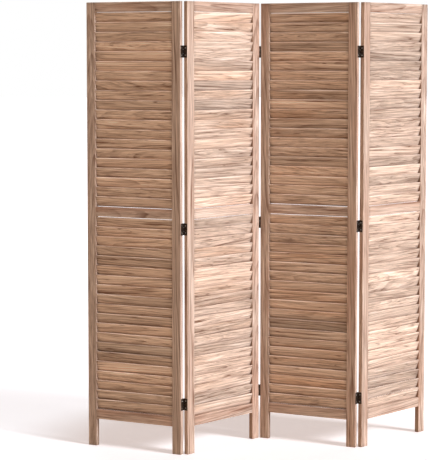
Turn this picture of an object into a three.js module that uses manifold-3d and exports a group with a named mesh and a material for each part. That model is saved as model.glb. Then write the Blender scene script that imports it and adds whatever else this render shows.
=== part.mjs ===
/**
 * Folding room divider of four louvred panels, standing in a zig-zag.
 *
 * Millimetres, +Z up. X runs along the screen and -Y is its front. The origin is the middle of
 * the footprint, on the floor. Inside a panel, x runs from its left edge to its right edge as
 * seen from the front, y from its front face (negative) to its back face, and z up from the floor.
 */
import * as THREE from "three";
import { mergeVertices } from "three/addons/utils/BufferGeometryUtils.js";
import Module from "manifold-3d";

// The folded screen.
const PANEL_COUNT = 4;
const PANEL_WIDTH = 400;
const PANEL_HEIGHT = 1700;
const FOLD_ANGLE = 107.5; // degrees between two neighbouring panels as they stand

// The frame of a panel: two stiles that run down into legs, and three rails between them.
const FRAME_THICKNESS = 18;
const STILE_WIDTH = 37;
const TOP_RAIL_HEIGHT = 37;
const MIDDLE_RAIL_HEIGHT = 37;
const BOTTOM_RAIL_HEIGHT = 37;
const MIDDLE_RAIL_RISE = 4; // how far the middle rail stands above the middle of the opening
const LEG_HEIGHT = 105;
const FRAME_ARRIS = 1.2; // eased long edges
const STILE_END_CHAMFER = 0.8;

// The blind stub tenons on the rails.
const TENON_LENGTH = 15;
const TENON_THICKNESS = 8;
const TENON_SHOULDER = 5;

// The slats, which turn on a round pivot at each end.
const SLATS_PER_BANK = 20;
const SLAT_WIDTH = 41;
const SLAT_THICKNESS = 5.5;
const SLAT_NOSE = 2.2; // how far a long edge is rounded back
const SLAT_TILT = 20; // degrees from upright, top edge to the front
const SLAT_SIDE_GAP = 0.8; // between a slat's end and the stile
const SLAT_RAIL_GAP = 1.5; // between the last slat as it stands and the rail
const PIVOT_DIAMETER = 5;
const PIVOT_LENGTH = 8;
const PIVOT_CLEARANCE = 0.3;
const PIVOT_SIDES = 6;
const TURNING_PANEL = 4; // the panel whose upper slats are loose pieces that turn

// The butt hinges: leaves screwed to the stiles' outer edges, barrels standing off the faces.
const HINGE_HEIGHT = 45;
const LEAF_THICKNESS = 0.7;
const LEAF_EDGE_INSET = 1; // from the stile face opposite the barrel to the leaf's edge
const CLOSED_LEAF_GAP = 0.4; // between two leaves when the panels are in line
const KNUCKLE_DIAMETER = 4.4;
const KNUCKLE_COUNT = 3;
const KNUCKLE_GAP = 0.4;
const KNUCKLE_SIDES = 8;
const BARREL_STANDOFF = 0.2; // from a panel's face to the barrel
const PIN_DIAMETER = 1.6;
const PIN_SIDES = 6;
const HINGE_TOP_INSET = 186; // from the top of the panel to the middle of the top hinge
const HINGE_BOTTOM_INSET = 190; // from the floor to the middle of the bottom hinge

// The countersunk screw holes, two in each leaf.
const SCREW_HOLE_RIM = 6;
const SCREW_SPACING = 27;
const SCREW_SIDES = 6;

// What every fitted pair of faces keeps between them, and how far a cutter overshoots.
const SEAT_GAP = 0.3;
const OVERSHOOT = 1;

// Finishes.
const FRAME_WOOD = { color: 0xd9bf9f, roughness: 0.7, metalness: 0 };
const SLAT_WOOD = { color: 0xcfae88, roughness: 0.75, metalness: 0 };
const HINGE_STEEL = { color: 0x2e241d, roughness: 0.45, metalness: 0.8 };

// Worked out from the sizes above.
const HALF_THICKNESS = FRAME_THICKNESS / 2;
const INNER_WIDTH = PANEL_WIDTH - 2 * STILE_WIDTH;
const TOP_RAIL_BASE = PANEL_HEIGHT - TOP_RAIL_HEIGHT;
const BOTTOM_RAIL_HEAD = LEG_HEIGHT + BOTTOM_RAIL_HEIGHT;
const MIDDLE_RAIL_BASE =
  (BOTTOM_RAIL_HEAD + TOP_RAIL_BASE - MIDDLE_RAIL_HEIGHT) / 2 + MIDDLE_RAIL_RISE;
const MIDDLE_RAIL_HEAD = MIDDLE_RAIL_BASE + MIDDLE_RAIL_HEIGHT;
const LOWER_BANK = { base: BOTTOM_RAIL_HEAD, height: MIDDLE_RAIL_BASE - BOTTOM_RAIL_HEAD };
const UPPER_BANK = { base: MIDDLE_RAIL_HEAD, height: TOP_RAIL_BASE - MIDDLE_RAIL_HEAD };
const TILT = THREE.MathUtils.degToRad(SLAT_TILT);
const SLAT_AXIS_INSET = (SLAT_WIDTH / 2) * Math.cos(TILT) + SLAT_RAIL_GAP;
const SLAT_LENGTH = INNER_WIDTH - 2 * SLAT_SIDE_GAP;
const EDGE_GAP = 2 * (SEAT_GAP + LEAF_THICKNESS) + CLOSED_LEAF_GAP;
const BARREL_OFFSET = KNUCKLE_DIAMETER / 2 + BARREL_STANDOFF;
const HINGE_LEVELS = {
  bottom: HINGE_BOTTOM_INSET,
  middle: (HINGE_BOTTOM_INSET + PANEL_HEIGHT - HINGE_TOP_INSET) / 2,
  top: PANEL_HEIGHT - HINGE_TOP_INSET,
};

const wasm = await Module();
wasm.setup();

// ---- Working with solids -----------------------------------------------------------------

/** Turns a closed geometry into a solid that can be cut and joined. */
function solid(geometry) {
  const bare = geometry.clone();
  bare.deleteAttribute("normal");
  bare.deleteAttribute("uv");
  const merged = mergeVertices(bare);
  return new wasm.Manifold(
    new wasm.Mesh({
      numProp: 3,
      vertProperties: new Float32Array(merged.attributes.position.array),
      triVerts: new Uint32Array(merged.index.array),
    }),
  );
}

/** Turns a solid back into a geometry with flat-shaded faces. */
function geometryOf(body) {
  const mesh = body.getMesh();
  const geometry = new THREE.BufferGeometry();
  geometry.setAttribute("position", new THREE.BufferAttribute(mesh.vertProperties, 3));
  geometry.setIndex(new THREE.BufferAttribute(mesh.triVerts, 1));
  geometry.computeVertexNormals();
  return geometry;
}

/** Joins the pieces in added, then takes the pieces in removed away from them. */
function carve(added, removed = []) {
  let body = added.map(solid).reduce((whole, piece) => whole.add(piece));
  for (const cutter of removed) {
    body = body.subtract(solid(cutter));
  }
  return geometryOf(body);
}

// ---- Plain forms -------------------------------------------------------------------------

/** A rectangle about the origin with its corners cut at 45 degrees. */
function easedRectangle(width, height, ease) {
  const x = width / 2;
  const y = height / 2;
  return new THREE.Shape([
    new THREE.Vector2(-x + ease, -y),
    new THREE.Vector2(x - ease, -y),
    new THREE.Vector2(x, -y + ease),
    new THREE.Vector2(x, y - ease),
    new THREE.Vector2(x - ease, y),
    new THREE.Vector2(-x + ease, y),
    new THREE.Vector2(-x, y - ease),
    new THREE.Vector2(-x, -y + ease),
  ]);
}

/** An upright bar on z = 0, with its ends chamfered. */
function uprightBar(outline, length, chamfer) {
  const geometry = new THREE.ExtrudeGeometry(outline, {
    depth: length - 2 * chamfer,
    bevelEnabled: true,
    bevelThickness: chamfer,
    bevelSize: chamfer,
    bevelOffset: -chamfer,
    bevelSegments: 1,
  });
  return geometry.translate(0, 0, chamfer);
}

/** A bar along x from x = 0; the outline's x becomes y and its y becomes z. */
function levelBar(outline, length) {
  const geometry = new THREE.ExtrudeGeometry(outline, { depth: length, bevelEnabled: false });
  const turn = new THREE.Matrix4().makeBasis(
    new THREE.Vector3(0, 1, 0),
    new THREE.Vector3(0, 0, 1),
    new THREE.Vector3(1, 0, 0),
  );
  return geometry.applyMatrix4(turn);
}

/** A box between two opposite corners. */
function boxBetween(x0, x1, y0, y1, z0, z1) {
  const geometry = new THREE.BoxGeometry(Math.abs(x1 - x0), Math.abs(y1 - y0), Math.abs(z1 - z0));
  return geometry.translate((x0 + x1) / 2, (y0 + y1) / 2, (z0 + z1) / 2);
}

/** An upright polygonal cylinder between two heights, about the z axis. */
function uprightCylinder(radius, z0, z1, sides) {
  const geometry = new THREE.CylinderGeometry(radius, radius, z1 - z0, sides);
  return geometry.rotateX(Math.PI / 2).translate(0, 0, (z0 + z1) / 2);
}

/** The circumradius of a polygon whose flats clear a round of the given radius by gap. */
function clearingRadius(radius, gap, sides) {
  return (radius + gap) / Math.cos(Math.PI / sides);
}

// ---- Frame -------------------------------------------------------------------------------

/** The rails of a panel: name, the height of their lower edge, and their own height. */
const RAILS = [
  { name: "top_rail", base: TOP_RAIL_BASE, height: TOP_RAIL_HEIGHT },
  { name: "middle_rail", base: MIDDLE_RAIL_BASE, height: MIDDLE_RAIL_HEIGHT },
  { name: "bottom_rail", base: LEG_HEIGHT, height: BOTTOM_RAIL_HEIGHT },
];

/** A rail with a stub tenon at each end, lying between the stiles. */
function railGeometry({ base, height }) {
  const left = STILE_WIDTH + SEAT_GAP;
  const length = INNER_WIDTH - 2 * SEAT_GAP;
  const middle = base + height / 2;
  const outline = easedRectangle(FRAME_THICKNESS, height, FRAME_ARRIS);
  const beam = levelBar(outline, length).translate(left, 0, middle);
  const halfTenon = TENON_THICKNESS / 2;
  const tongue = boxBetween(
    STILE_WIDTH - TENON_LENGTH,
    PANEL_WIDTH - STILE_WIDTH + TENON_LENGTH,
    -halfTenon,
    halfTenon,
    base + TENON_SHOULDER,
    base + height - TENON_SHOULDER,
  );
  return carve([beam, tongue]);
}

/** The pocket in a stile for a rail's tenon. side is -1 for the left stile, 1 for the right. */
function mortiseCutter({ base, height }, side) {
  const innerFace = side < 0 ? STILE_WIDTH : PANEL_WIDTH - STILE_WIDTH;
  const halfWidth = TENON_THICKNESS / 2 + SEAT_GAP;
  return boxBetween(
    innerFace - side * OVERSHOOT,
    innerFace + side * (TENON_LENGTH + SEAT_GAP),
    -halfWidth,
    halfWidth,
    base + TENON_SHOULDER - SEAT_GAP,
    base + height - TENON_SHOULDER + SEAT_GAP,
  );
}

/** The hole in a stile for one slat pivot. */
function pivotCutter(level, side) {
  const innerFace = side < 0 ? STILE_WIDTH : PANEL_WIDTH - STILE_WIDTH;
  const depth = PIVOT_LENGTH + SEAT_GAP;
  const radius = clearingRadius(PIVOT_DIAMETER / 2, PIVOT_CLEARANCE, PIVOT_SIDES);
  const cutter = new THREE.CylinderGeometry(radius, radius, depth + OVERSHOOT, PIVOT_SIDES);
  const middle = innerFace + (side * (depth - OVERSHOOT)) / 2;
  return cutter.rotateZ(Math.PI / 2).translate(middle, 0, level);
}

/** A stile with its mortises, its pivot holes, and the slats that it carries. */
function stileGeometry(side, pivotLevels, carried) {
  const middle = side < 0 ? STILE_WIDTH / 2 : PANEL_WIDTH - STILE_WIDTH / 2;
  const outline = easedRectangle(STILE_WIDTH, FRAME_THICKNESS, FRAME_ARRIS);
  const post = uprightBar(outline, PANEL_HEIGHT, STILE_END_CHAMFER).translate(middle, 0, 0);
  const mortises = RAILS.map((rail) => mortiseCutter(rail, side));
  const pivotHoles = pivotLevels.map((level) => pivotCutter(level, side));
  return carve([post, ...carried], [...mortises, ...pivotHoles]);
}

// ---- Slats -------------------------------------------------------------------------------

/** The heights of the slat axes of a bank, from the bottom up, evenly spaced between its rails. */
function slatLevels({ base, height }) {
  const pitch = (height - 2 * SLAT_AXIS_INSET) / (SLATS_PER_BANK - 1);
  return Array.from(
    { length: SLATS_PER_BANK },
    (_, index) => base + SLAT_AXIS_INSET + index * pitch,
  );
}

/** The board of a slat, upright and centred on its turning axis, along x from x = 0. */
function slatBoard() {
  const x = SLAT_THICKNESS / 2;
  const tip = SLAT_WIDTH / 2;
  const shoulder = tip - SLAT_NOSE;
  const outline = new THREE.Shape([
    new THREE.Vector2(0, -tip),
    new THREE.Vector2(x, -shoulder),
    new THREE.Vector2(x, shoulder),
    new THREE.Vector2(0, tip),
    new THREE.Vector2(-x, shoulder),
    new THREE.Vector2(-x, -shoulder),
  ]);
  return levelBar(outline, SLAT_LENGTH);
}

/** A round pivot along x between two distances from the slat's left end. */
function pivotRod(start, end) {
  const radius = PIVOT_DIAMETER / 2;
  const rod = new THREE.CylinderGeometry(radius, radius, end - start, PIVOT_SIDES);
  return rod.rotateZ(Math.PI / 2).translate((start + end) / 2, 0, 0);
}

/** Puts a slat, or a part of one, at its tilt and height in a panel. */
function seatSlat(geometry, level) {
  return geometry.rotateX(TILT).translate(STILE_WIDTH + SLAT_SIDE_GAP, 0, level);
}

/** A loose slat that turns: the board with a round pivot standing out of each end. */
function looseSlat(level) {
  const reach = SLAT_SIDE_GAP + PIVOT_LENGTH;
  return seatSlat(carve([slatBoard(), pivotRod(-reach, SLAT_LENGTH + reach)]), level);
}

/** The slats of a bank that stay as they stand, each held in the left stile by its pivot. */
function carriedSlats(bank) {
  return slatLevels(bank).flatMap((level) => [
    seatSlat(slatBoard(), level),
    seatSlat(pivotRod(-SLAT_SIDE_GAP - PIVOT_LENGTH, PIVOT_LENGTH), level),
  ]);
}

// ---- Hinges ------------------------------------------------------------------------------

/**
 * The hinge on one edge of a panel.
 * side is -1 for the left edge and 1 for the right; face is -1 for a barrel in front of the
 * panel and 1 for one behind it; the outer leaf carries the first and the last knuckle.
 */
function hingeOn(side, face, outer) {
  const edge = side < 0 ? 0 : PANEL_WIDTH;
  return {
    side,
    face,
    outer,
    edge,
    axisX: edge + (side * EDGE_GAP) / 2,
    axisY: face * (HALF_THICKNESS + BARREL_OFFSET),
    farEdgeY: -face * (HALF_THICKNESS - LEAF_EDGE_INSET),
    nearEdgeY: face * (HALF_THICKNESS + BARREL_OFFSET - KNUCKLE_DIAMETER / 2 - KNUCKLE_GAP),
    surfaceX: edge + side * (SEAT_GAP + LEAF_THICKNESS),
  };
}

/** A countersunk screw hole through a leaf, at a height; its sides slope at 45 degrees. */
function countersinkCutter(hinge, level) {
  const depth = LEAF_THICKNESS + SEAT_GAP / 2;
  const rim = SCREW_HOLE_RIM / 2;
  const cone = new THREE.CylinderGeometry(
    rim + OVERSHOOT,
    rim - depth,
    depth + OVERSHOOT,
    SCREW_SIDES,
  );
  cone.translate(0, (OVERSHOOT - depth) / 2, 0).rotateZ((-hinge.side * Math.PI) / 2);
  return cone.translate(hinge.surfaceX, (hinge.farEdgeY + hinge.nearEdgeY) / 2, level);
}

/** Where each knuckle of a hinge starts and ends, counted from the hinge's foot. */
function knuckleSpans(hinge) {
  const length = (HINGE_HEIGHT - (KNUCKLE_COUNT - 1) * KNUCKLE_GAP) / KNUCKLE_COUNT;
  const spans = Array.from({ length: KNUCKLE_COUNT }, (_, index) => {
    const start = index * (length + KNUCKLE_GAP);
    return [start, start + length];
  });
  return spans.filter((_, index) => (index % 2 === 0) === hinge.outer);
}

/**
 * One leaf: its plate, its knuckles, and the webs that carry them past the stile's face. The
 * pin is pressed into the outer leaf's knuckles and turns in the other leaf's.
 */
function leafGeometry(hinge, level) {
  const { outer, axisX, axisY, face, farEdgeY, nearEdgeY, surfaceX } = hinge;
  const foot = level - HINGE_HEIGHT / 2;
  const head = level + HINGE_HEIGHT / 2;
  const backX = hinge.edge + hinge.side * SEAT_GAP;
  const pinRoom = clearingRadius(PIN_DIAMETER / 2, SEAT_GAP, PIN_SIDES);
  const webY = axisY - (face * (KNUCKLE_DIAMETER / 2 + pinRoom)) / 2;
  const onAxis = (radius, z0, z1, sides) =>
    uprightCylinder(radius, z0, z1, sides).translate(axisX, axisY, 0);
  const added = [boxBetween(backX, surfaceX, farEdgeY, nearEdgeY, foot, head)];
  for (const [start, end] of knuckleSpans(hinge)) {
    added.push(
      boxBetween(backX, surfaceX, nearEdgeY - face * OVERSHOOT, webY, foot + start, foot + end),
      onAxis(KNUCKLE_DIAMETER / 2, foot + start, foot + end, KNUCKLE_SIDES),
    );
  }
  const removed = [level - SCREW_SPACING / 2, level + SCREW_SPACING / 2].map((height) =>
    countersinkCutter(hinge, height),
  );
  if (outer) {
    added.push(onAxis(PIN_DIAMETER / 2, foot + OVERSHOOT, head - OVERSHOOT, PIN_SIDES));
  } else {
    removed.push(onAxis(pinRoom, foot, head, PIN_SIDES));
  }
  return carve(added, removed);
}

// ---- Assembly ----------------------------------------------------------------------------

/** A named mesh with a finish of its own. */
function piece(name, geometry, finish) {
  const mesh = new THREE.Mesh(geometry, new THREE.MeshStandardMaterial(finish));
  mesh.name = name;
  return mesh;
}

/** Which side a joint's barrel is on: behind the screen at the near folds, else in front. */
function barrelFace(joint) {
  return joint % 2 === 1 ? 1 : -1;
}

/** The hinges on a panel's left and right edges; the outermost edges have none. */
function panelHinges(number) {
  return {
    left: number > 1 ? hingeOn(-1, barrelFace(number - 1), false) : null,
    right: number < PANEL_COUNT ? hingeOn(1, barrelFace(number), true) : null,
  };
}

/** The stiles of a panel; the left one carries the slats that stay as they stand. */
function stilePieces(name, turning) {
  const pivotLevels = turning ? slatLevels(UPPER_BANK) : [];
  const carried = carriedSlats(LOWER_BANK);
  if (!turning) {
    carried.push(...carriedSlats(UPPER_BANK));
  }
  const title = turning ? "left_stile_and_lower_slats" : "left_stile_and_slats";
  return [
    piece(`${name}_${title}`, stileGeometry(-1, pivotLevels, carried), FRAME_WOOD),
    piece(`${name}_right_stile`, stileGeometry(1, pivotLevels, []), FRAME_WOOD),
  ];
}

/** The loose slats of the upper bank, numbered from the bottom. */
function looseSlatPieces(name) {
  return slatLevels(UPPER_BANK).map((level, index) => {
    const number = String(index + 1).padStart(2, "0");
    return piece(`${name}_upper_slat_${number}`, looseSlat(level), SLAT_WOOD);
  });
}

/** The three leaves on one edge of a panel. */
function leafPieces(hinge, joint) {
  const hand = hinge.outer ? "left" : "right";
  return Object.entries(HINGE_LEVELS).map(([place, level]) => {
    const name = `hinge_${joint}_${joint + 1}_${place}_${hand}_leaf`;
    return piece(name, leafGeometry(hinge, level), HINGE_STEEL);
  });
}

/** One panel with everything that is fixed to it or turns in it. */
function buildPanel(number) {
  const name = `panel_${number}`;
  const turning = number === TURNING_PANEL;
  const { left, right } = panelHinges(number);
  const panel = new THREE.Group();
  panel.add(...stilePieces(name, turning));
  panel.add(...RAILS.map((rail) => piece(`${name}_${rail.name}`, railGeometry(rail), FRAME_WOOD)));
  if (turning) panel.add(...looseSlatPieces(name));
  if (left) panel.add(...leafPieces(left, number - 1));
  if (right) panel.add(...leafPieces(right, number));
  return panel;
}

/** Sets the panels out in a zig-zag, each turned about the hinge axis it shares with the last. */
function buildScreen() {
  const screen = new THREE.Group();
  const lean = THREE.MathUtils.degToRad((180 - FOLD_ANGLE) / 2);
  let shared = new THREE.Vector2(0, 0);
  for (let number = 1; number <= PANEL_COUNT; number += 1) {
    const heading = number % 2 === 1 ? -lean : lean;
    const { left, right } = panelHinges(number);
    const start = left ? new THREE.Vector2(left.axisX, left.axisY) : new THREE.Vector2(0, 0);
    const origin = shared.clone().sub(start.rotateAround(new THREE.Vector2(0, 0), heading));
    const panel = buildPanel(number);
    panel.position.set(origin.x, origin.y, 0);
    panel.rotation.z = heading;
    screen.add(panel);
    if (right) {
      const end = new THREE.Vector2(right.axisX, right.axisY);
      shared = end.rotateAround(new THREE.Vector2(0, 0), heading).add(origin);
    }
  }
  screen.updateMatrixWorld(true);
  const footprint = new THREE.Box3().setFromObject(screen, true);
  const middle = footprint.getCenter(new THREE.Vector3());
  screen.position.set(-middle.x, -middle.y, 0);
  return screen;
}

const divider = new THREE.Group();
divider.add(buildScreen());

export default divider;
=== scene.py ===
"""Visual model of a folding louvred room divider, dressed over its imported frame.

Four panels stand in a zig-zag. Each has two stiles, three rails and two banks of turning slats,
and neighbours are joined by three butt hinges. All lengths are in metres.
"""

import logging
import math
import random
from collections.abc import Callable, Sequence
from dataclasses import dataclass, field
from enum import Enum

import bmesh
import bpy
from mathutils import Matrix, Vector


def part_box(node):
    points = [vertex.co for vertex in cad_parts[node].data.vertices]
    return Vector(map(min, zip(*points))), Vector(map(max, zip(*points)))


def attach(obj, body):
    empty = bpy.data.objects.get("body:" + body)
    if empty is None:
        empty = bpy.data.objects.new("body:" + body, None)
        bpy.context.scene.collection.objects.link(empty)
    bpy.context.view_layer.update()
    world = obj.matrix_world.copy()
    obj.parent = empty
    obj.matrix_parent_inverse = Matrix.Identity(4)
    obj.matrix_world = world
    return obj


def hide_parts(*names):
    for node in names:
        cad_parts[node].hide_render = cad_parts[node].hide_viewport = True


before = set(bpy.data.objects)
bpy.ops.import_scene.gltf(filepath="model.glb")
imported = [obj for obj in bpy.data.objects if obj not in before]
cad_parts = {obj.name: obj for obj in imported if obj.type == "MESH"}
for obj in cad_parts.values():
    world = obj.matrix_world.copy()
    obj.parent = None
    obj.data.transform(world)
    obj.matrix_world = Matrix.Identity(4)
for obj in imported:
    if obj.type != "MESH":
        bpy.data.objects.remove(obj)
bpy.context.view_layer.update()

LOG = logging.getLogger("room_divider")

Colour = tuple[float, float, float, float]
Socket = bpy.types.NodeSocket

MM = 0.001
SMOOTH = {"interpolation_type": "SMOOTHSTEP"}
FULL_TURN = 2 * math.pi
QUARTER_TURN = math.pi / 2
X_AXIS = Vector((1, 0, 0))
Y_AXIS = Vector((0, 1, 0))
Z_AXIS = Vector((0, 0, 1))
ORIGIN = Vector((0, 0, 0))


class Side(Enum):
    """The left or right edge of a panel, seen from the front."""

    LEFT = -1
    RIGHT = 1

    @property
    def word(self) -> str:
        """The side's name in a piece name."""
        return self.name.lower()


class Bank(Enum):
    """The two openings of a panel, one above the other."""

    LOWER = "lower"
    UPPER = "upper"


class Slot(Enum):
    """The record's material slots."""

    FRAME_WOOD = "frame_wood"
    SLAT_WOOD = "slat_wood"
    HINGE_METAL = "hinge_metal"


# ---- Shader nodes ----


class Value:
    """A number that varies over a surface. Its operators add Math nodes to the tree."""

    def __init__(self, shader: "Shader", socket: Socket) -> None:
        """Wraps an output socket of a shader's tree."""
        self.shader = shader
        self.socket = socket

    def math(self, operation: str, *others: "Value | float", clamp: bool = False) -> "Value":
        """Adds a Math node whose first value this is."""
        return self.shader.arithmetic(operation, self, *others, clamp=clamp)

    def __add__(self, other: "Value | float") -> "Value":
        """The sum."""
        return self.math("ADD", other)

    __radd__ = __add__

    def __sub__(self, other: "Value | float") -> "Value":
        """The difference."""
        return self.math("SUBTRACT", other)

    def __rsub__(self, other: float) -> "Value":
        """The difference, with the number first."""
        return self.shader.arithmetic("SUBTRACT", other, self)

    def __mul__(self, other: "Value | float") -> "Value":
        """The product."""
        return self.math("MULTIPLY", other)

    __rmul__ = __mul__

    def __truediv__(self, other: "Value | float") -> "Value":
        """The quotient."""
        return self.math("DIVIDE", other)

    def __rtruediv__(self, other: float) -> "Value":
        """The quotient, with the number first."""
        return self.shader.arithmetic("DIVIDE", other, self)

    def __pow__(self, other: "Value | float") -> "Value":
        """The power."""
        return self.math("POWER", other)

    def __rpow__(self, other: float) -> "Value":
        """The power, with the number first."""
        return self.shader.arithmetic("POWER", other, self)

    def clamped(self) -> "Value":
        """The value kept from 0 to 1."""
        return self.math("ADD", 0.0, clamp=True)

    def step(self, low: float, high: float) -> "Value":
        """A smooth step from 0 at low to 1 at high."""
        inputs = {"Value": self, "From Min": low, "From Max": high}
        return self.shader.value("Result", "ShaderNodeMapRange", SMOOTH, inputs)


class Shader:
    """The node tree of one finish, and the few ways in which this file adds nodes to it."""

    def __init__(self, owner: bpy.types.Material | bpy.types.World) -> None:
        """Empties the node tree of a material or of the world.

        Args:
            owner: the material or the world.
        """
        owner.use_nodes = True
        self.owner = owner
        self.tree = owner.node_tree
        self.tree.nodes.clear()

    def node(
        self,
        kind: str,
        settings: dict[str, object] | None = None,
        inputs: dict[str, object] | None = None,
    ) -> bpy.types.Node:
        """Adds a node.

        Args:
            kind: the node's type.
            settings: its properties, set first.
            inputs: its sockets' values or links, by identifier or name.

        Returns:
            The node.
        """
        made = self.tree.nodes.new(kind)
        for name, setting in (settings or {}).items():
            setattr(made, name, setting)
        for name, given in (inputs or {}).items():
            self._plug(made, name, given)
        return made

    def _plug(self, made: bpy.types.Node, name: str, given: object) -> None:
        """Sets or links one input.

        Args:
            made: the node.
            name: the socket's identifier, or its name.
            given: a Value, a socket, or a plain value.
        """
        by_identifier = [s for s in made.inputs if s.identifier == name]
        socket = by_identifier[0] if by_identifier else made.inputs[name]
        if isinstance(given, Value):
            given = given.socket
        if isinstance(given, bpy.types.NodeSocket):
            self.tree.links.new(given, socket)
        else:
            socket.default_value = given

    def value(
        self,
        output: str,
        kind: str,
        settings: dict[str, object] | None = None,
        inputs: dict[str, object] | None = None,
    ) -> Value:
        """The number that comes out of a new node at the output of that name."""
        return Value(self, self.node(kind, settings, inputs).outputs[output])

    def arithmetic(
        self, operation: str, *values: "Value | float", clamp: bool = False
    ) -> Value:
        """Adds a Math node.

        Args:
            operation: the node's operation.
            values: its inputs in order.
            clamp: whether the result is kept from 0 to 1.

        Returns:
            The node's result.
        """
        settings = {"operation": operation, "use_clamp": clamp}
        inputs = dict(zip(("Value", "Value_001", "Value_002"), values))
        return self.value("Value", "ShaderNodeMath", settings, inputs)

    def vector_math(self, operation: str, *vectors: object) -> bpy.types.Node:
        """Adds a Vector Math node and gives it its inputs in order."""
        inputs = dict(zip(("Vector", "Vector_001", "Vector_002"), vectors))
        return self.node("ShaderNodeVectorMath", {"operation": operation}, inputs)

    def vector(self, operation: str, *vectors: object) -> Socket:
        """The vector that comes out of a Vector Math node."""
        return self.vector_math(operation, *vectors).outputs["Vector"]

    def length(self, vector: Socket) -> Value:
        """The length of a vector."""
        return Value(self, self.vector_math("LENGTH", vector).outputs["Value"])

    def attribute(self, name: str) -> Socket:
        """The vector that each point of the mesh holds under that name."""
        return self.node("ShaderNodeAttribute", {"attribute_name": name}).outputs["Vector"]

    def parts(self, vector: Socket) -> tuple[Value, Value, Value]:
        """The three numbers of a vector."""
        split = self.node("ShaderNodeSeparateXYZ", None, {"Vector": vector})
        return tuple(Value(self, split.outputs[axis]) for axis in "XYZ")

    def clouds(self, place: Socket, stretch: Sequence[float], detail: float) -> bpy.types.Node:
        """Adds a Noise Texture node.

        Args:
            place: the point that it is read at.
            stretch: how many features lie in a metre, along each axis.
            detail: how many finer layers are added.

        Returns:
            The node.
        """
        scaled = self.vector("MULTIPLY", place, stretch)
        inputs = {"Vector": scaled, "Scale": 1.0, "Detail": detail}
        return self.node("ShaderNodeTexNoise", None, inputs)

    def noise(self, place: Socket, stretch: Sequence[float], detail: float) -> Value:
        """Soft noise from 0 to 1."""
        return Value(self, self.clouds(place, stretch, detail).outputs["Fac"])

    def sway(self, place: Socket, stretch: Sequence[float], detail: float) -> Socket:
        """A vector that wanders by up to a half each way along each axis."""
        wandering = self.clouds(place, stretch, detail).outputs["Color"]
        return self.vector("SUBTRACT", wandering, (0.5, 0.5, 0.5))

    def mix(self, factor: object, first: object, second: object, blend: str = "MIX") -> Socket:
        """Mixes two colours.

        Args:
            factor: how much of the second there is.
            first: a colour or its socket.
            second: a colour or its socket.
            blend: the way of mixing.

        Returns:
            The mixed colour.
        """
        settings = {"data_type": "RGBA", "blend_type": blend}
        inputs = {"Factor_Float": factor, "A_Color": first, "B_Color": second}
        node = self.node("ShaderNodeMix", settings, inputs)
        return next(s for s in node.outputs if s.identifier == "Result_Color")

    def grey(self, value: Value) -> Socket:
        """A number as a grey colour."""
        node = self.node("ShaderNodeCombineXYZ", None, {"X": value, "Y": value, "Z": value})
        return node.outputs["Vector"]

    def bump(self, height: Value, depth: float, strength: float) -> Socket:
        """The normal of a relief from 0 to 1, which is that deep and shows that strongly."""
        inputs = {"Height": height, "Distance": depth, "Strength": strength}
        return self.node("ShaderNodeBump", None, inputs).outputs["Normal"]

    def surface(self, inputs: dict[str, object]) -> bpy.types.Material:
        """Ends the tree with a Principled shader, and returns the material."""
        shader = self.node("ShaderNodeBsdfPrincipled", None, inputs)
        self.node("ShaderNodeOutputMaterial", None, {"Surface": shader.outputs["BSDF"]})
        return self.owner


# ---- Finishes ----


class Grain(Enum):
    """The layers of a grain: features in a metre along and across it, and finer layers."""

    FIBRE = (11.0, 640.0, 3.0)
    STREAK = (3.2, 150.0, 3.0)
    THREAD = (3.6, 115.0, 1.5)
    PORES = (40.0, 2300.0, 1.0)
    CLOUD = (2.4, 24.0, 2.0)
    SCORCH = (4.0, 70.0, 3.0)
    WAVE = (2.6, 13.0, 1.5)
    RIPPLE = (9.0, 60.0, 1.5)

    def scale(self) -> tuple[tuple[float, float, float], float]:
        """The stretch along the three axes of the log, and the finer layers."""
        along, across, detail = self.value
        return (along, across, across), detail

    def read(self, shader: Shader, place: Socket) -> Value:
        """The layer's noise at a place in the log."""
        return shader.noise(place, *self.scale())


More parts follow.
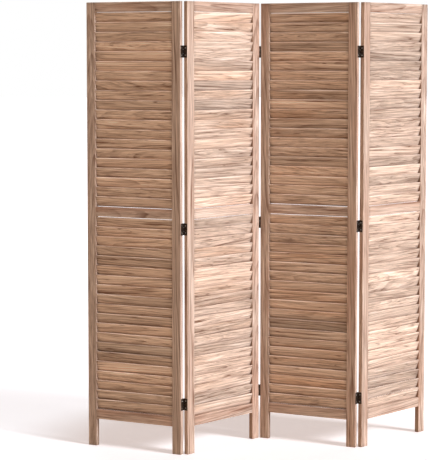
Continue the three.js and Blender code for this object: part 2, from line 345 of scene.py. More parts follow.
@dataclass(frozen=True)
class WoodFinish:
    """Brushed softwood, toasted and then limed: pale wood between thin brown late-wood lines."""

    name: str
    early: Colour
    late: Colour
    flush: Colour
    limed: Colour
    line_strength: float
    figure_strength: float
    # How dark the painted shade on the lower and inner sides is.
    pooling: float
    wave: float
    ripple: float = 0.9 * MM
    ring_spacing: float = 6.0 * MM
    relief_depth: float = 0.5 * MM

    def material(self) -> bpy.types.Material:
        """Builds the finish.

        Returns:
            The material. It reads the point attributes grain, board and wear.
        """
        shader = Shader(bpy.data.materials.new(self.name))
        grain = shader.attribute("grain")
        lightness, hue, char = shader.parts(shader.attribute("board"))
        # The wear attribute holds edge wear, nearness to an end, and painted shade.
        edge, end, under_shade = shader.parts(shader.attribute("wear"))

        rings = self._rings(shader, grain)
        fibre = Grain.FIBRE.read(shader, grain)
        streak = Grain.STREAK.read(shader, grain)
        pores = Grain.PORES.read(shader, grain)
        cloud = Grain.CLOUD.read(shader, grain)

        # The wood's own colours: flushed with heart wood, and limed where it is brushed.
        warm = cloud.step(0.35, 0.7) * hue
        chalk = streak.step(0.5, 0.72) * (1.0 - cloud.step(0.4, 0.7)) * 0.75
        colour = shader.mix(warm, self.early, self.flush)
        colour = shader.mix(chalk, colour, self.limed)

        # What is as dark as late wood: rings, thin wandering lines, scorching, and painted shade.
        wandering = (Grain.THREAD.read(shader, grain) - 0.5).math("ABSOLUTE")
        figure = (1.0 - wandering.step(0.004, 0.05)) * streak.step(0.7, 0.35)
        lines = rings * (streak.step(0.62, 0.3) * 0.5 + 0.5) * self.line_strength
        lines = lines.math("MAXIMUM", figure * self.figure_strength)
        scorch = Grain.SCORCH.read(shader, grain).step(0.52, 0.74) * (char * 0.75)
        # Painted shade: along a slat's lower edge, where it tucks behind the slat below, along the
        # rails' undersides and the stiles' inner sides, reaching further near each board's ends.
        shade_mask = under_shade.math("MAXIMUM", end * (under_shade ** 0.4))
        shade_darkness = shade_mask * (streak.step(0.75, 0.3) * 0.55 + 0.45) * self.pooling
        dark = (lines + scorch).math("MAXIMUM", shade_darkness)
        colour = shader.mix(dark.clamped(), colour, self.late)

        # The board's own lightness, its fibres, its rubbed edges and its shaded ends.
        tone = lightness * 0.18 + 1.0 + (fibre - 0.5) + (streak - 0.5) * 0.8
        tone = tone + (pores - 0.5) * 0.35 + edge * 0.1
        tone = tone * (1.0 - end * 0.2)
        relief = fibre * 0.45 + pores * 0.12 - rings * 0.35
        return shader.surface(
            {
                "Base Color": shader.mix(1.0, colour, shader.grey(tone), "MULTIPLY"),
                "Roughness": 0.72 + fibre * 0.12 - rings * 0.1 - edge * 0.08,
                "IOR": 1.46,
                "Specular IOR Level": 0.3,
                "Normal": shader.bump(relief, self.relief_depth, 0.6),
            }
        )

    def _rings(self, shader: Shader, grain: Socket) -> Value:
        """The late-wood lines.

        Args:
            shader: the tree.
            grain: the place in the log, whose middle is the x axis.

        Returns:
            1 on a dark line, 0 in the pale wood between.
        """
        moved = grain
        for layer, reach in ((Grain.WAVE, self.wave), (Grain.RIPPLE, self.ripple)):
            sway = shader.sway(grain, *layer.scale())
            moved = shader.vector("MULTIPLY_ADD", sway, (0.0, 4 * reach, 4 * reach), moved)
        flat = shader.vector("MULTIPLY", moved, (0.0, 1.0, 1.0))
        years = shader.length(flat) / self.ring_spacing
        phase = years.math("FRACT")
        year = {"W": years.math("FLOOR")}
        season = shader.value("Value", "ShaderNodeTexWhiteNoise", {"noise_dimensions": "1D"}, year)
        darkness = season * 0.65 + 0.35
        line = phase.step(0.5, 0.88) * (1.0 - phase.step(0.92, 1.0))
        weak = (phase * 3.0).math("FRACT").step(0.5, 0.8) * 0.22
        return (line * darkness + weak).clamped()


@dataclass(frozen=True)
class SteelFinish:
    """Dark bronze lacquer on steel, rubbed brighter along its edges."""

    name: str
    lacquer: Colour
    rubbed: Colour
    metallic: float = 0.55
    roughness: float = 0.42

    def material(self) -> bpy.types.Material:
        """Builds the finish.

        Returns:
            The material. It reads the point attributes grain and wear.
        """
        shader = Shader(bpy.data.materials.new(self.name))
        grain = shader.attribute("grain")
        edge, _, _ = shader.parts(shader.attribute("wear"))
        mottle = shader.noise(grain, (260.0, 260.0, 260.0), 3.0)
        scratch = shader.noise(grain, (90.0, 2600.0, 900.0), 2.0).step(0.62, 0.72)
        bright = (edge * mottle.step(0.42, 0.62) + scratch * 0.25).clamped()
        return shader.surface(
            {
                "Base Color": shader.mix(bright, self.lacquer, self.rubbed),
                "Metallic": bright * (1.0 - self.metallic) + self.metallic,
                "Roughness": mottle * 0.22 + (self.roughness - 0.11) - bright * 0.08,
                "Normal": shader.bump(mottle, 0.05 * MM, 0.35),
            }
        )


FRAME_WOOD = WoodFinish(
    name="brushed_frame_wood",
    early=(0.66, 0.52, 0.425, 1.0),
    late=(0.23, 0.12, 0.075, 1.0),
    flush=(0.53, 0.34, 0.25, 1.0),
    limed=(0.79, 0.70, 0.61, 1.0),
    line_strength=0.85,
    figure_strength=0.45,
    # Painted shade on the stiles' inner sides and the rails' undersides.
    pooling=0.6,
    wave=3.0 * MM,
)
SLAT_WOOD = WoodFinish(
    name="brushed_slat_wood",
    early=(0.80, 0.655, 0.545, 1.0),
    late=(0.19, 0.093, 0.05, 1.0),
    flush=(0.71, 0.51, 0.375, 1.0),
    limed=(0.92, 0.83, 0.74, 1.0),
    line_strength=0.7,
    figure_strength=0.75,
    # Painted shade along the slats' lower edges.
    pooling=0.95,
    wave=6.0 * MM,
)
HINGE_STEEL = SteelFinish(
    name="bronzed_hinge_steel",
    lacquer=(0.024, 0.013, 0.008, 1.0),
    rubbed=(0.2, 0.13, 0.085, 1.0),
)
SCREW_STEEL = SteelFinish(
    name="bright_screw_steel",
    lacquer=(0.3, 0.26, 0.22, 1.0),
    rubbed=(0.62, 0.58, 0.52, 1.0),
    metallic=0.9,
    roughness=0.34,
)


class Paints:
    """The finishes, each built once."""

    def __init__(self) -> None:
        """Builds every finish."""
        self.frame_wood = FRAME_WOOD.material()
        self.slat_wood = SLAT_WOOD.material()
        self.hinge_steel = HINGE_STEEL.material()
        self.screw_steel = SCREW_STEEL.material()


# ---- Mesh drawing ----


@dataclass(frozen=True)
class RimPoint:
    """A point of a board's section: depth y, height z, and 1 where the edge is rounded."""

    y: float
    z: float
    edge: float


@dataclass
class Section:
    """The section of a board across its grain: a rectangle with rounded corners.

    A corner is an ellipse quarter, ease_y deep and ease_z high. Lines at band from each corner
    keep the wear of the edges off the flats. Shade is painted on the side at low z (a slat's
    lower edge, a rail's underside, a stile's inner side) and fades out at gather from it.
    """

    thickness: float
    width: float
    ease_y: float
    ease_z: float
    band: float = 3.0 * MM
    steps: int = 4
    gather: float = 1.2 * MM
    least_ease: float = 0.1 * MM

    def stained(self, point: RimPoint) -> float:
        """How much shade is painted at a point, from 0 to 1."""
        return max(0.0, 1.0 - (point.z + self.width / 2) / self.gather)

    def rim(self, inset: float = 0.0) -> list[RimPoint]:
        """The section's points, anticlockwise seen against the grain axis.

        Args:
            inset: how far the section is drawn in, as at a board's rounded end.

        Returns:
            The points, the same number for every inset.
        """
        half_y = self.thickness / 2 - inset
        half_z = self.width / 2 - inset
        ease_y = min(max(self.ease_y - inset, self.least_ease), half_y)
        ease_z = min(max(self.ease_z - inset, self.least_ease), half_z)
        flat_y, flat_z = half_y - ease_y, half_z - ease_z
        points: list[RimPoint] = []
        for turn, (sy, sz) in enumerate(((1, -1), (1, 1), (-1, 1), (-1, -1))):
            arc = []
            for step in range(self.steps + 1):
                angle = QUARTER_TURN * step / self.steps
                y = sy * (flat_y + ease_y * math.sin(angle))
                z = sz * (flat_z + ease_z * math.cos(angle))
                arc.append(RimPoint(y, z, 1.0))
            even = turn % 2 == 0
            if not even:
                arc.reverse()
            points += self._lead(arc[0], not even, (flat_y, flat_z))[::-1]
            points += arc + self._lead(arc[-1], even, (flat_y, flat_z))
        return points

    def _lead(
        self, corner: RimPoint, along_z: bool, flats: tuple[float, float]
    ) -> list[RimPoint]:
        """The points on the flat next to a corner, or none where the flat is too short.

        Args:
            corner: the corner's end.
            along_z: whether the flat runs along z.
            flats: half of the flat along y and along z.

        Returns:
            The points, the nearest first.
        """
        flat = flats[along_z]
        places = [flat - reach for reach in (self.band, 3 * self.band) if flat >= 1.2 * reach]
        if along_z:
            return [RimPoint(corner.y, math.copysign(z, corner.z), 0.0) for z in places]
        return [RimPoint(math.copysign(y, corner.y), corner.z, 0.0) for y in places]


class Draft:
    """One piece's mesh while it is drawn, with the wear and painted shade of each point."""

    def __init__(self) -> None:
        """Starts with nothing."""
        self.points: list[Vector] = []
        self.wear: list[Vector] = []
        self.faces: list[tuple[int, ...]] = []
        self.smooth: list[bool] = []

    def ring(self, points: Sequence[Vector], wear: Sequence[Vector]) -> list[int]:
        """Adds a closed row of points.

        Args:
            points: their places.
            wear: edge wear, nearness to an end and painted shade for each.

        Returns:
            Their numbers.
        """
        start = len(self.points)
        self.points += points
        self.wear += wear
        return list(range(start, len(self.points)))

    def face(self, corners: Sequence[int], smooth: bool) -> None:
        """Adds a face."""
        self.faces.append(tuple(corners))
        self.smooth.append(smooth)

    def skin(self, first: list[int], second: list[int], smooth: Callable[[int], bool]) -> None:
        """Joins two rows of as many points.

        Args:
            first: the nearer row.
            second: the farther row.
            smooth: whether the face after a point of the row is smooth.
        """
        for i in range(len(first)):
            j = (i + 1) % len(first)
            self.face((first[i], first[j], second[j], second[i]), smooth(i))

    def close(self, rows: Sequence[list[int]], smooth: bool) -> None:
        """Joins each row to the next one and closes the first and the last with a face.

        Args:
            rows: the rows in order.
            smooth: whether the faces between the rows are smooth.
        """
        for first, second in zip(rows, rows[1:]):
            self.skin(first, second, lambda _: smooth)
        self.face(rows[0][::-1], False)
        self.face(rows[-1], False)

    def lathe(
        self,
        profile: Sequence[tuple[float, float]],
        axes: tuple[Vector, Vector, Vector],
        centre: Vector,
        sides: int,
        wear: float = 0.0,
    ) -> None:
        """Turns a profile round an axis and closes both ends.

        Args:
            profile: pairs of a radius and a place along the axis, in order.
            axes: the axis and the two directions across it.
            centre: a point on the axis.
            sides: how many flats the turned form has.
            wear: the edge wear of the two outermost rows.
        """
        along, across, third = axes
        rows = []
        for number, (radius, place) in enumerate(profile):
            ends = number in (0, len(profile) - 1)
            row = [
                centre
                + along * place
                + across * (radius * math.cos(FULL_TURN * k / sides))
                + third * (radius * math.sin(FULL_TURN * k / sides))
                for k in range(sides)
            ]
            rows.append(self.ring(row, [Vector((wear * ends, 0, 0))] * sides))
        self.close(rows, True)

    def board(self, length: float, section: Section, end_ease: float, stations: int) -> None:
        """Draws a board along x from x = 0.

        Args:
            length: its length.
            section: its section.
            end_ease: the radius that rounds the edges of its ends.
            stations: how many parts its length is drawn in.
        """
        places = self._stations(length, section.band, end_ease, stations)
        rows = []
        for x, inset, edge, end in places:
            rim = section.rim(inset)
            row = [Vector((x, p.y, p.z)) for p in rim]
            # The third number is painted shade on the section's low-z side.
            wear = [Vector((max(p.edge, edge), end, section.stained(p))) for p in rim]
            rows.append(self.ring(row, wear))
        rim = section.rim()
        turned = [a.edge > 0 and b.edge > 0 for a, b in zip(rim, rim[1:] + rim[:1])]
        for number, (first, second) in enumerate(zip(rows, rows[1:])):
            at_end = places[number][1] > 0 or places[number + 1][1] > 0
            self.skin(first, second, lambda i, end=at_end: end or turned[i])
        self.face(rows[0][::-1], False)
        self.face(rows[-1], False)

    def _stations(
        self, length: float, band: float, ease: float, parts: int
    ) -> list[tuple[float, float, float, float]]:
        """Where a board's rows of points lie.

        Args:
            length: the board's length.
            band: how far the wear of the ends reaches.
            ease: the rounding of the ends.
            parts: how many parts the length is drawn in.

        Returns:
            For each row its x, inset, edge wear and nearness to an end.
        """
        near = []
        steps = 3
        for step in range(steps + 1):
            angle = QUARTER_TURN * step / steps
            near.append(
                (ease * (1 - math.cos(angle)), ease * (1 - math.sin(angle)), 1.0, 1.0)
            )
        clear = ease + 4 * band
        near += [(ease + band, 0.0, 0.0, 0.7), (clear, 0.0, 0.0, 0.0)]
        inner = [
            (length * k / parts, 0.0, 0.0, 0.0)
            for k in range(1, parts)
            if clear < length * k / parts < length - clear
        ]
        return near + inner + [(length - x, i, e, g) for x, i, e, g in reversed(near)]

    def object(
        self, name: str, place: Matrix, cut: Matrix, board: Vector, material: bpy.types.Material
    ) -> bpy.types.Object:
        """Makes the object.

        Args:
            name: the piece's name.
            place: where the drawing's own axes stand in the frame of the row.
            cut: where the drawing's own axes lie in the log.
            board: lightness, hue and scorching of the piece.
            material: its finish.

        Returns:
            The object. It sits at the origin, and its place is in its mesh.
        """
        mesh = bpy.data.meshes.new(name)
        mesh.from_pydata([place @ point for point in self.points], [], self.faces)
        mesh.polygons.foreach_set("use_smooth", self.smooth)
        work = bmesh.new()
        work.from_mesh(mesh)
        bmesh.ops.recalc_face_normals(work, faces=work.faces)
        work.to_mesh(mesh)
        work.free()
        self._write(mesh, "grain", [cut @ p for p in self.points])
        self._write(mesh, "board", [board] * len(self.points))
        self._write(mesh, "wear", self.wear)
        mesh.materials.append(material)
        made = bpy.data.objects.new(name, mesh)
        bpy.context.scene.collection.objects.link(made)
        return made

    def _write(self, mesh: bpy.types.Mesh, name: str, vectors: Sequence[Vector]) -> None:
        """Stores a vector for each point of a mesh."""
        layer = mesh.attributes.new(name, "FLOAT_VECTOR", "POINT")
        layer.data.foreach_set("vector", [number for v in vectors for number in v])


@dataclass(frozen=True)
class Log:
    """How boards are cut from the log: where each one lies, and how its wood differs."""

    near: float = 22 * MM
    far: float = 110 * MM
    fan: float = 1.1
    slope: float = 0.05
    reach: float = 40.0
    spread: float = 0.75
    darkest: float = -1.6
    palest: float = 1.4

    def cut(self, draw: random.Random, length: float) -> Matrix:
        """Chooses a board's place in the log.

        Args:
            draw: the seeded numbers of the piece.
            length: the board's length.

        Returns:
            The matrix from the board's axes to the log's, whose pith is the x axis.
        """
        depth = draw.uniform(self.near, self.far)
        aside = draw.uniform(-self.fan, self.fan)
        turn = Matrix.Rotation(draw.uniform(-self.slope, self.slope), 4, "Z") @ Matrix.Rotation(
            draw.uniform(-self.slope, self.slope), 4, "Y"
        )
        middle = Matrix.Translation((-length / 2, 0, 0))
        along = draw.uniform(-self.reach, self.reach)
        place = Matrix.Translation((along, depth * math.cos(aside), depth * math.sin(aside)))
        flip = Matrix.Rotation(math.pi * draw.randrange(2), 4, "X")
        return place @ flip @ turn @ middle

    def board(self, draw: random.Random, share: float = 1.0) -> Vector:
        """Chooses a board's lightness, with that share of the log's spread, hue and scorching."""
        lightness = max(self.darkest, min(self.palest, draw.gauss(0.0, self.spread)))
        return Vector((share * lightness, draw.random(), draw.random()))


# ---- The screen ----


def settle(piece: bpy.types.Object, body: str, node: str) -> None:
    """Gives a piece what it moves with and what it stands for.

    Args:
        piece: the piece.
        body: the body that it rides.
        node: the node that it replaces.
    """
    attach(piece, body)
    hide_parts(node)


@dataclass(frozen=True)
class Rail:
    """A rail of a panel: its word in names, and its foot and head above the floor."""

    word: str
    foot: float
    head: float


@dataclass
class Panel:
    """One louvred panel: two stiles, three rails and two banks of slats."""

    number: int
    paints: Paints
    log: Log
    paleness: float
    warmth: float
    width: float = 400 * MM
    height: float = 1700 * MM
    thickness: float = 18 * MM
    stile_width: float = 37 * MM
    heading: float = math.radians(36.25)
    frame_ease: float = 1.8 * MM
    stile_end_ease: float = 1.0 * MM
    rail_end_ease: float = 0.4 * MM
    rail_seat: float = 0.3 * MM
    stile_spread: float = 0.4
    rail_spread: float = 0.5
    slat_width: float = 41 * MM
    slat_thickness: float = 5.5 * MM
    slat_nose: float = 2.2 * MM
    tight_nose: float = 0.8 * MM
    slat_end_ease: float = 0.5 * MM
    # How far the painted shade reaches up a slat from its lower edge.
    slat_stain: float = 10 * MM
    slat_tilt: float = math.radians(20)
    slat_side_gap: float = 0.8 * MM
    slat_rail_gap: float = 1.5 * MM
    slats_per_bank: int = 20
    pivot_diameter: float = 5 * MM
    pivot_length: float = 8 * MM
    pivot_root: float = 1.0 * MM
    pivot_tip: float = 0.5 * MM
    rails: list[Rail] = field(init=False)
    place: Matrix = field(init=False)

    def __post_init__(self) -> None:
        """Finds where the panel and its rails stand from the boxes of its rails."""
        self.rails = []
        for word in ("bottom", "middle", "top"):
            low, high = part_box(f"{self.name}_{word}_rail")
            self.rails.append(Rail(word, low.z, high.z))
        centre = (low + high) / 2
        turn = Matrix.Rotation(self.heading * (-1 if self.number % 2 else 1), 4, "Z")
        start = Vector((centre.x, centre.y, 0)) - turn.to_3x3() @ (X_AXIS * (self.width / 2))
        self.place = Matrix.Translation(start) @ turn

    @property
    def name(self) -> str:
        """The panel's name, which its body has too."""
        return f"panel_{self.number}"

    @property
    def turning(self) -> bool:
        """Whether the slats of the upper bank turn one by one."""
        return self.number == 4

    @property
    def stile_node(self) -> str:
        """The node that holds the left stile and the slats that stay as they stand."""
        slats = "lower_slats" if self.turning else "slats"
        return f"{self.name}_left_stile_and_{slats}"

    def build(self) -> int:
        """Builds the panel.

        Returns:
            How many pieces it has.
        """
        for side in Side:
            self._stile(side)
        for rail in self.rails:
            self._rail(rail)
        for bank in Bank:
            for number in range(self.slats_per_bank):
                self._slat(bank, number)
        return 2 + len(self.rails) + 2 * self.slats_per_bank

    def _stile(self, side: Side) -> None:
        """Builds a stile.

        Args:
            side: the edge of the panel that it is on.
        """
        draw = random.Random(f"{self.name} stile {side.word}")
        section = Section(self.thickness, self.stile_width, self.frame_ease, self.frame_ease)
        draft = Draft()
        draft.board(self.height, section, self.stile_end_ease, 12)
        middle = self.width / 2 + side.value * (self.width - self.stile_width) / 2
        turn = side.value
        upright = Matrix(((0, 0, turn, middle), (0, -turn, 0, 0), (1, 0, 0, 0), (0, 0, 0, 1)))
        stile = draft.object(
            f"{self.name}_stile_{side.word}",
            self.place @ upright,
            self.log.cut(draw, self.height),
            self.log.board(draw, self.stile_spread),
            self.paints.frame_wood,
        )
        node = self.stile_node if side is Side.LEFT else f"{self.name}_right_stile"
        settle(stile, self.name, node)

    def _rail(self, rail: Rail) -> None:
        """Builds a rail.

        Args:
            rail: which one.
        """
        draw = random.Random(f"{self.name} rail {rail.word}")
        start = self.stile_width + self.rail_seat
        length = self.width - 2 * start
        section = Section(
            self.thickness, rail.head - rail.foot, self.frame_ease, self.frame_ease
        )
        draft = Draft()
        draft.board(length, section, self.rail_end_ease, 6)
        at = Matrix.Translation((start, 0, (rail.foot + rail.head) / 2))
        piece = draft.object(
            f"{self.name}_rail_{rail.word}",
            self.place @ at,
            self.log.cut(draw, length),
            self.log.board(draw, self.rail_spread),
            self.paints.frame_wood,
        )
        settle(piece, self.name, f"{self.name}_{rail.word}_rail")

    def _slat_height(self, bank: Bank, number: int) -> float:
        """The height of a slat's axis above the floor.

        Args:
            bank: the opening that it is in.
            number: its number from the bottom, from 0.

        Returns:
            The height.
        """
        under, over = self.rails[:2] if bank is Bank.LOWER else self.rails[1:]
        inset = self.slat_width / 2 * math.cos(self.slat_tilt) + self.slat_rail_gap
        pitch = (over.foot - under.head - 2 * inset) / (self.slats_per_bank - 1)
        return under.head + inset + pitch * number

    def _slat(self, bank: Bank, number: int) -> None:
        """Builds a slat with its two pivots, less rounded where the eye looks down past it.

        Args:
            bank: the opening that it is in.
            number: its number from the bottom, from 0.
        """
        draw = random.Random(f"{self.name} slat {bank.value} {number}")
        start = self.stile_width + self.slat_side_gap
        length = self.width - 2 * start
        tight = bank is Bank.LOWER and number < self.slats_per_bank - 1
        nose = (self.tight_nose,) * 2 if tight else (self.slat_thickness / 2, self.slat_nose)
        size = self.slat_thickness, self.slat_width
        section = Section(*size, *nose, steps=5, gather=self.slat_stain)
        draft = Draft()
        draft.board(length, section, self.slat_end_ease, 6)
        self._pivots(draft, length)
        tilt = Matrix.Rotation(self.slat_tilt, 4, "X")
        at = Matrix.Translation((start, 0, self._slat_height(bank, number)))
        piece = draft.object(
            f"{self.name}_slat_{bank.value}_{number + 1:02d}",
            self.place @ at @ tilt,
            self.log.cut(draw, length),
            self._slat_wood(draw),
            self.paints.slat_wood,
        )
        loose = self.turning and bank is Bank.UPPER
        body = f"upper_slat_{number + 1:02d}" if loose else self.name
        node = f"{self.name}_{body}" if loose else self.stile_node
        settle(piece, body, node)

    def _slat_wood(self, draw: random.Random) -> Vector:
        """Chooses a slat's lightness, hue and scorching within the panel's own tone."""
        lightness, hue, char = self.log.board(draw)
        return Vector((lightness + self.paleness, hue * self.warmth, char))

    def _pivots(self, draft: Draft, length: float) -> None:
        """Draws the round pivot at each end of a slat.

        Args:
            draft: the slat's drawing.
            length: the slat's length.
        """
        radius = self.pivot_diameter / 2
        profile = (
            (radius, -self.pivot_root),
            (radius, self.pivot_length - self.pivot_tip),
            (radius - self.pivot_tip, self.pivot_length),
        )
        draft.lathe(profile, (-X_AXIS, Z_AXIS, Y_AXIS), ORIGIN, 16)
        draft.lathe(profile, (X_AXIS, Y_AXIS, Z_AXIS), X_AXIS * length, 16)


@dataclass
class ButtHinge:
    """A butt hinge: two leaves on the edges of two panels, their knuckles, a pin and screws.

    A leaf is drawn with x out of its panel's edge, y towards the barrel and z along the pin.
    """

    left: Panel
    right: Panel
    word: str
    level: float
    paints: Paints
    height: float = 45 * MM
    leaf_thickness: float = 0.7 * MM
    leaf_inset: float = 1.0 * MM
    seat: float = 0.3 * MM
    edge_gap: float = 2.4 * MM
    barrel_offset: float = 2.4 * MM
    knuckle_diameter: float = 4.4 * MM
    knuckle_gap: float = 0.4 * MM
    knuckle_ease: float = 0.35 * MM
    web_overlap: float = 1.0 * MM
    pin_diameter: float = 1.6 * MM
    pin_crown: float = 0.2 * MM
    screw_spacing: float = 27 * MM
    screw_head: float = 5.4 * MM
    screw_shank: float = 3.2 * MM
    head_room: float = 0.15 * MM
    recess: float = 0.55 * MM
    recess_middle: float = 0.75 * MM

    @property
    def name(self) -> str:
        """The hinge's name."""
        return f"hinge_{self.left.number}_{self.right.number}_{self.word}"

    @property
    def face(self) -> int:
        """1 where the barrel is behind the screen, -1 where it is in front."""
        return 1 if self.left.number % 2 else -1

    @property
    def barrel(self) -> Vector:
        """The middle of the barrel in a leaf's drawing."""
        return Vector((self.edge_gap / 2, self.left.thickness / 2 + self.barrel_offset, 0))

    @property
    def plate(self) -> tuple[float, float]:
        """The two edges of a leaf's plate, along y."""
        reach = self.knuckle_diameter / 2 + self.knuckle_gap
        return self.leaf_inset - self.left.thickness / 2, self.barrel.y - reach

    @property
    def front(self) -> float:
        """The front of a leaf, along x."""
        return self.seat + self.leaf_thickness

    def build(self) -> int:
        """Builds the hinge.

        Returns:
            How many pieces it has.
        """
        pieces = 1
        for side in Side:
            self._leaf(side)
            for number, end in enumerate((-1, 1), 1):
                self._screw(side, number, end * self.screw_spacing / 2)
            pieces += 3
        self._pin()
        return pieces

    def _panel(self, side: Side) -> Panel:
        """The panel that a leaf is on."""
        return self.left if side is Side.LEFT else self.right

    def _place(self, side: Side) -> Matrix:
        """Where a leaf's own axes stand.

        Args:
            side: the leaf's hand.

        Returns:
            The matrix. Its z is up or down, so that the axes stay right-handed.
        """
        panel = self._panel(side)
        edge = panel.width if side is Side.LEFT else 0.0
        out = -side.value
        up = out * self.face
        return panel.place @ Matrix(
            ((out, 0, 0, edge), (0, self.face, 0, 0), (0, 0, up, self.level), (0, 0, 0, 1))
        )

    def _make(
        self,
        draft: Draft,
        word: str,
        side: Side,
        at: Matrix,
        spot: tuple[float, float],
        finish: bpy.types.Material,
    ) -> None:
        """Makes a piece that goes with one leaf.

        Args:
            draft: its drawing.
            word: what it is called on the hinge.
            side: the leaf's hand.
            at: where the drawing stands in the leaf's own axes.
            spot: where its mottling is read.
            finish: its finish.
        """
        cut = Matrix.Translation((*spot, 0))
        piece = draft.object(f"{self.name}_{word}", self._place(side) @ at, cut, ORIGIN, finish)
        settle(piece, self._panel(side).name, f"{self.name}_{side.word}_leaf")

    def _spans(self, side: Side) -> list[tuple[float, float]]:
        """Where a leaf's knuckles lie: the outer two on one leaf, the middle one on the other.

        Args:
            side: the leaf's hand.

        Returns:
            The foot and head of each, from the middle of the hinge.
        """
        step = (self.height + self.knuckle_gap) / 3
        feet = [k * step - self.height / 2 for k in ((0, 2) if side is Side.LEFT else (1,))]
        return [(foot, foot + step - self.knuckle_gap) for foot in feet]

    def _leaf(self, side: Side) -> None:
        """Builds a leaf with its knuckles.

        Args:
            side: the leaf's hand.
        """
        draft = Draft()
        for end in (-1, 1):
            self._plate_half(draft, end)
        radius, ease = self.knuckle_diameter / 2, self.knuckle_ease
        for foot, head in self._spans(side):
            profile = (
                (radius - ease, foot),
                (radius, foot + ease),
                (radius, head - ease),
                (radius - ease, head),
            )
            draft.lathe(profile, (Z_AXIS, X_AXIS, Y_AXIS), self.barrel, 24, 1.0)
            self._web(draft, foot, head)
        spot = self.level, 0
        self._make(draft, f"leaf_{side.word}", side, Matrix(), spot, self.paints.hinge_steel)

    def _web(self, draft: Draft, foot: float, head: float) -> None:
        """Draws the strip that joins a leaf's plate to a knuckle.

        Args:
            draft: the leaf's drawing.
            foot: the knuckle's foot.
            head: its head.
        """
        start = self.plate[1] - self.web_overlap
        end = self.barrel.y - self.knuckle_diameter / 2 * 0.6
        outline = ((self.seat, start), (self.front, start), (self.front, end), (self.seat, end))
        rows = []
        for z in (foot, head):
            corners = [Vector((x, y, z)) for x, y in outline]
            rows.append(draft.ring(corners, [Vector((0.6, 0, 0))] * 4))
        draft.close(rows, False)

    def _plate_half(self, draft: Draft, end: int) -> None:
        """Draws the half of a plate round one screw hole, countersunk from the front.

        Args:
            draft: the leaf's drawing.
            end: 1 for the upper half, -1 for the lower.
        """
        far, near = self.plate
        middle = Vector(((far + near) / 2, end * self.screw_spacing / 2))
        low = Vector((far, 0 if end > 0 else -self.height / 2))
        high = Vector((near, self.height / 2 if end > 0 else 0))
        angles = {FULL_TURN * k / 24 for k in range(24)}
        for y in (low.x, high.x):
            for z in (low.y, high.y):
                angles.add(math.atan2(z - middle.y, y - middle.x) % FULL_TURN)
        ways = [Vector((math.cos(angle), math.sin(angle))) for angle in sorted(angles)]
        outer = [self._to_edge(middle, way, low, high) for way in ways]
        wide = [middle + way * (self.screw_head / 2 + self.head_room) for way in ways]
        narrow = [middle + way * (self.screw_shank / 2) for way in ways]
        rows = []
        for x, outline, wear in (
            (self.seat, outer, 1.0),
            (self.front, outer, 1.0),
            (self.front, wide, 0.5),
            (self.seat, narrow, 0.0),
        ):
            row = [Vector((x, point.x, point.y)) for point in outline]
            rows.append(draft.ring(row, [Vector((wear, 0, 0))] * len(row)))
        for first, second in zip(rows, rows[1:] + rows[:1]):
            draft.skin(first, second, lambda _: False)

    def _to_edge(self, middle: Vector, way: Vector, low: Vector, high: Vector) -> Vector:
        """Where a ray from a hole's middle meets the plate's outline.

        Args:
            middle: the hole's middle.
            way: the ray's direction.
            low: the outline's lowest corner.
            high: its highest corner.

        Returns:
            The point on the outline.
        """
        ahead = [high[i] if way[i] > 0 else low[i] for i in range(2)]
        reach = min((ahead[i] - middle[i]) / way[i] for i in range(2) if abs(way[i]) > 1e-9)
        return middle + way * reach

    def _screw(self, side: Side, number: int, height: float) -> None:
        """Builds a countersunk screw with a crossed recess.

        Args:
            side: the leaf's hand.
            number: 1 for the lower one, 2 for the upper.
            height: its height from the middle of the hinge.
        """
        draft = Draft()
        head = self.screw_head / 2
        shank = ((1.0 * MM, -9.0), (1.2 * MM, -3.2), (1.4 * MM, -1.0))
        crown = ((1.0, -0.04), (0.9, 0.03), (0.62, 0.09), (0.38, 0.12), (0.14, 0.13))
        rows = []
        for radius, rise in shank + tuple((head * share, rise) for share, rise in crown):
            row = []
            for k in range(32):
                depth = 0.0
                if radius < head * 0.2:
                    depth = self.recess_middle
                elif radius < head * 0.7 and rise > 0 and k % 8 in (0, 1, 7):
                    depth = self.recess
                x = self.front + rise * MM - depth
                angle = FULL_TURN * k / 32
                row.append(Vector((x, radius * math.cos(angle), radius * math.sin(angle))))
            rows.append(draft.ring(row, [Vector((0.6, 0, 0))] * 32))
        draft.close(rows, False)
        at = Matrix.Translation((0, sum(self.plate) / 2, height))
        draw = random.Random(f"{self.name} screw {side.word} {number}")
        spin = Matrix.Rotation(draw.uniform(0, QUARTER_TURN), 4, "X")
        word, spot = f"screw_{side.word}_{number}", (self.level + height, side.value)
        self._make(draft, word, side, at @ spin, spot, self.paints.screw_steel)

    def _pin(self) -> None:
        """Builds the pin, which its left leaf holds."""
        draft = Draft()
        radius, half = self.pin_diameter / 2, self.height / 2
        tip, top = radius * 0.7, half + self.pin_crown
        profile = ((tip, -top), (radius, -half), (radius, half), (tip, top))
        draft.lathe(profile, (Z_AXIS, X_AXIS, Y_AXIS), ORIGIN, 16, 1.0)
        at, spot = Matrix.Translation(self.barrel), (self.level, 3)
        self._make(draft, "pin", Side.LEFT, at, spot, self.paints.hinge_steel)


# ---- The studio ----


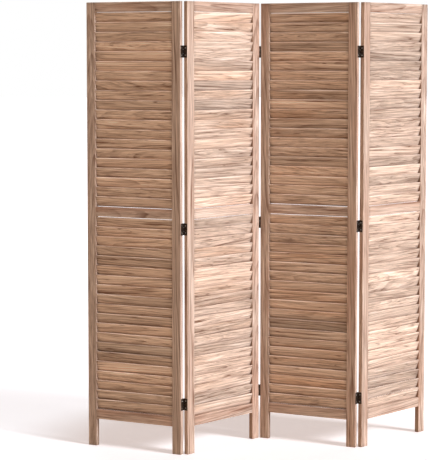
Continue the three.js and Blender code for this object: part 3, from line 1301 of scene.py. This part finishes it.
@dataclass
class Studio:
    """A pale floor, a white surround, one large soft lamp and the camera."""

    eye: tuple[float, float, float] = (-1.367, -6.356, 1.484)
    yaw: float = math.radians(10.39)
    pitch: float = math.radians(4.41)
    lens: float = 133.2
    shift_y: float = -0.085
    key_azimuth: float = math.radians(48.5)
    key_elevation: float = math.radians(26)
    key_strength: float = 3.3
    key_spread: float = math.radians(16)
    key_colour: tuple[float, float, float] = (1.0, 1.0, 1.06)
    lamp_distance: float = 8.0
    front_fill: Colour = (0.24, 0.16, 0.115, 1.0)
    back_fill: Colour = (0.62, 0.52, 0.45, 1.0)
    floor_colour: Colour = (0.95, 0.95, 0.95, 1.0)
    floor_bounce: Colour = (0.74, 0.60, 0.45, 1.0)
    near_lift: Colour = (0.335, 0.32, 0.335, 1.0)
    far_lift: Colour = (0.60, 0.635, 0.69, 1.0)
    lift_reach: tuple[float, float] = (0.6, 1.1)
    floor_reach: float = 60.0

    def build(self) -> None:
        """Builds the floor, the surround, the lamp and the camera."""
        self._floor()
        self._surround()
        self._key()
        self._camera()

    def _seen(self, nodes: Shader) -> Value:
        """Tells the rays that show the studio from those that light the object.

        Args:
            nodes: the tree of the floor or of the surround.

        Returns:
            1 for a ray from the camera, off a mirror or through glass, otherwise 0.
        """
        path = nodes.node("ShaderNodeLightPath").outputs
        kinds = ("Camera", "Glossy", "Transmission")
        camera, glossy, clear = (Value(nodes, path[f"Is {kind} Ray"]) for kind in kinds)
        return (camera + glossy + clear).clamped()

    def _floor(self) -> None:
        """Builds the floor, which keeps the object's shadow; its camera-only glow is painted
        brighter away from the object, which fades the shadow there.
        """
        shader = Shader(bpy.data.materials.new("studio_floor"))
        seen = self._seen(shader)
        place = shader.node("ShaderNodeTexCoord").outputs["Object"]
        # Painted light: the floor's glow rises away from the object and fades its shadow.
        away = shader.length(place).step(*self.lift_reach)
        lift = shader.mix(away, self.near_lift, self.far_lift)
        material = shader.surface(
            {
                "Base Color": shader.mix(seen, self.floor_bounce, self.floor_colour),
                "Roughness": 1.0,
                "Specular IOR Level": 0.0,
                "Emission Color": shader.mix(seen, (0, 0, 0, 1), lift),
                "Emission Strength": 1.0,
            }
        )
        mesh = bpy.data.meshes.new("floor")
        far = self.floor_reach
        corners = [(-far, -far, 0), (far, -far, 0), (far, far, 0), (-far, far, 0)]
        mesh.from_pydata(corners, [], [(0, 1, 2, 3)])
        mesh.materials.append(material)
        floor = bpy.data.objects.new("floor", mesh)
        bpy.context.scene.collection.objects.link(floor)

    def _surround(self) -> None:
        """Makes the world white to the eye, and to the object a fill, stronger from behind."""
        world = bpy.data.worlds.new("surround")
        bpy.context.scene.world = world
        nodes = Shader(world)
        way = nodes.node("ShaderNodeTexCoord").outputs["Generated"]
        behind = nodes.parts(way)[1].step(-0.1, 0.7)
        fill = nodes.mix(behind, self.front_fill, self.back_fill)
        colour = nodes.mix(self._seen(nodes), fill, (1, 1, 1, 1))
        back = nodes.node("ShaderNodeBackground", None, {"Color": colour, "Strength": 1.0})
        nodes.node("ShaderNodeOutputWorld", None, {"Surface": back.outputs["Background"]})

    def _key(self) -> None:
        """Hangs the large lamp to the right of the camera."""
        lamp = bpy.data.lights.new("key", "SUN")
        lamp.energy = self.key_strength
        lamp.angle = self.key_spread
        lamp.color = self.key_colour
        held = bpy.data.objects.new("key", lamp)
        low = math.cos(self.key_elevation)
        x, y = low * math.sin(self.key_azimuth), -low * math.cos(self.key_azimuth)
        to_lamp = Vector((x, y, math.sin(self.key_elevation)))
        held.rotation_euler = to_lamp.to_track_quat("Z", "Y").to_euler()
        held.location = to_lamp * self.lamp_distance
        bpy.context.scene.collection.objects.link(held)

    def _camera(self) -> None:
        """Sets the camera at the viewing angle, with just the shift that the framing needs."""
        camera = bpy.data.cameras.new("camera")
        camera.lens = self.lens
        camera.sensor_width = 36.0
        camera.shift_y = self.shift_y
        camera.clip_end = 200.0
        held = bpy.data.objects.new("camera", camera)
        held.location = self.eye
        held.rotation_euler = (QUARTER_TURN - self.pitch, 0, -self.yaw)
        bpy.context.scene.collection.objects.link(held)
        bpy.context.scene.camera = held


# ---- Assembly ----


@dataclass
class Divider:
    """The whole screen. Each panel's slats have their own paleness and warmth; the first panel's
    paleness is partly tone of its own and partly painted light on its shaded face.
    """

    # The first panel's paleness is partly the wood's own tone and partly painted light, lifting
    # its shaded slats.
    tones: tuple[tuple[float, float], ...] = ((1.0, 0.35), (0.2, 0.9), (0.1, 1.1), (0.15, 0.2))
    hinge_levels: dict[str, float] = field(
        default_factory=lambda: {"bottom": 190 * MM, "middle": 852 * MM, "top": 1514 * MM}
    )

    def build(self) -> None:
        """Builds every panel and every hinge."""
        paints = Paints()
        log = Log()
        panels = [
            Panel(number, paints, log, paleness, warmth)
            for number, (paleness, warmth) in enumerate(self.tones, 1)
        ]
        for panel in panels:
            LOG.info("%s: %d pieces", panel.name, panel.build())
        for left, right in zip(panels, panels[1:]):
            for word, level in self.hinge_levels.items():
                hinge = ButtHinge(left, right, word, level, paints)
                LOG.info("%s: %d pieces", hinge.name, hinge.build())


def main() -> None:
    """Builds the studio and the divider."""
    logging.basicConfig(level=logging.INFO, format="%(name)s %(message)s")
    bpy.context.scene.view_settings.view_transform = "Standard"
    Studio().build()
    Divider().build()


if __name__ == "__main__":
    main()
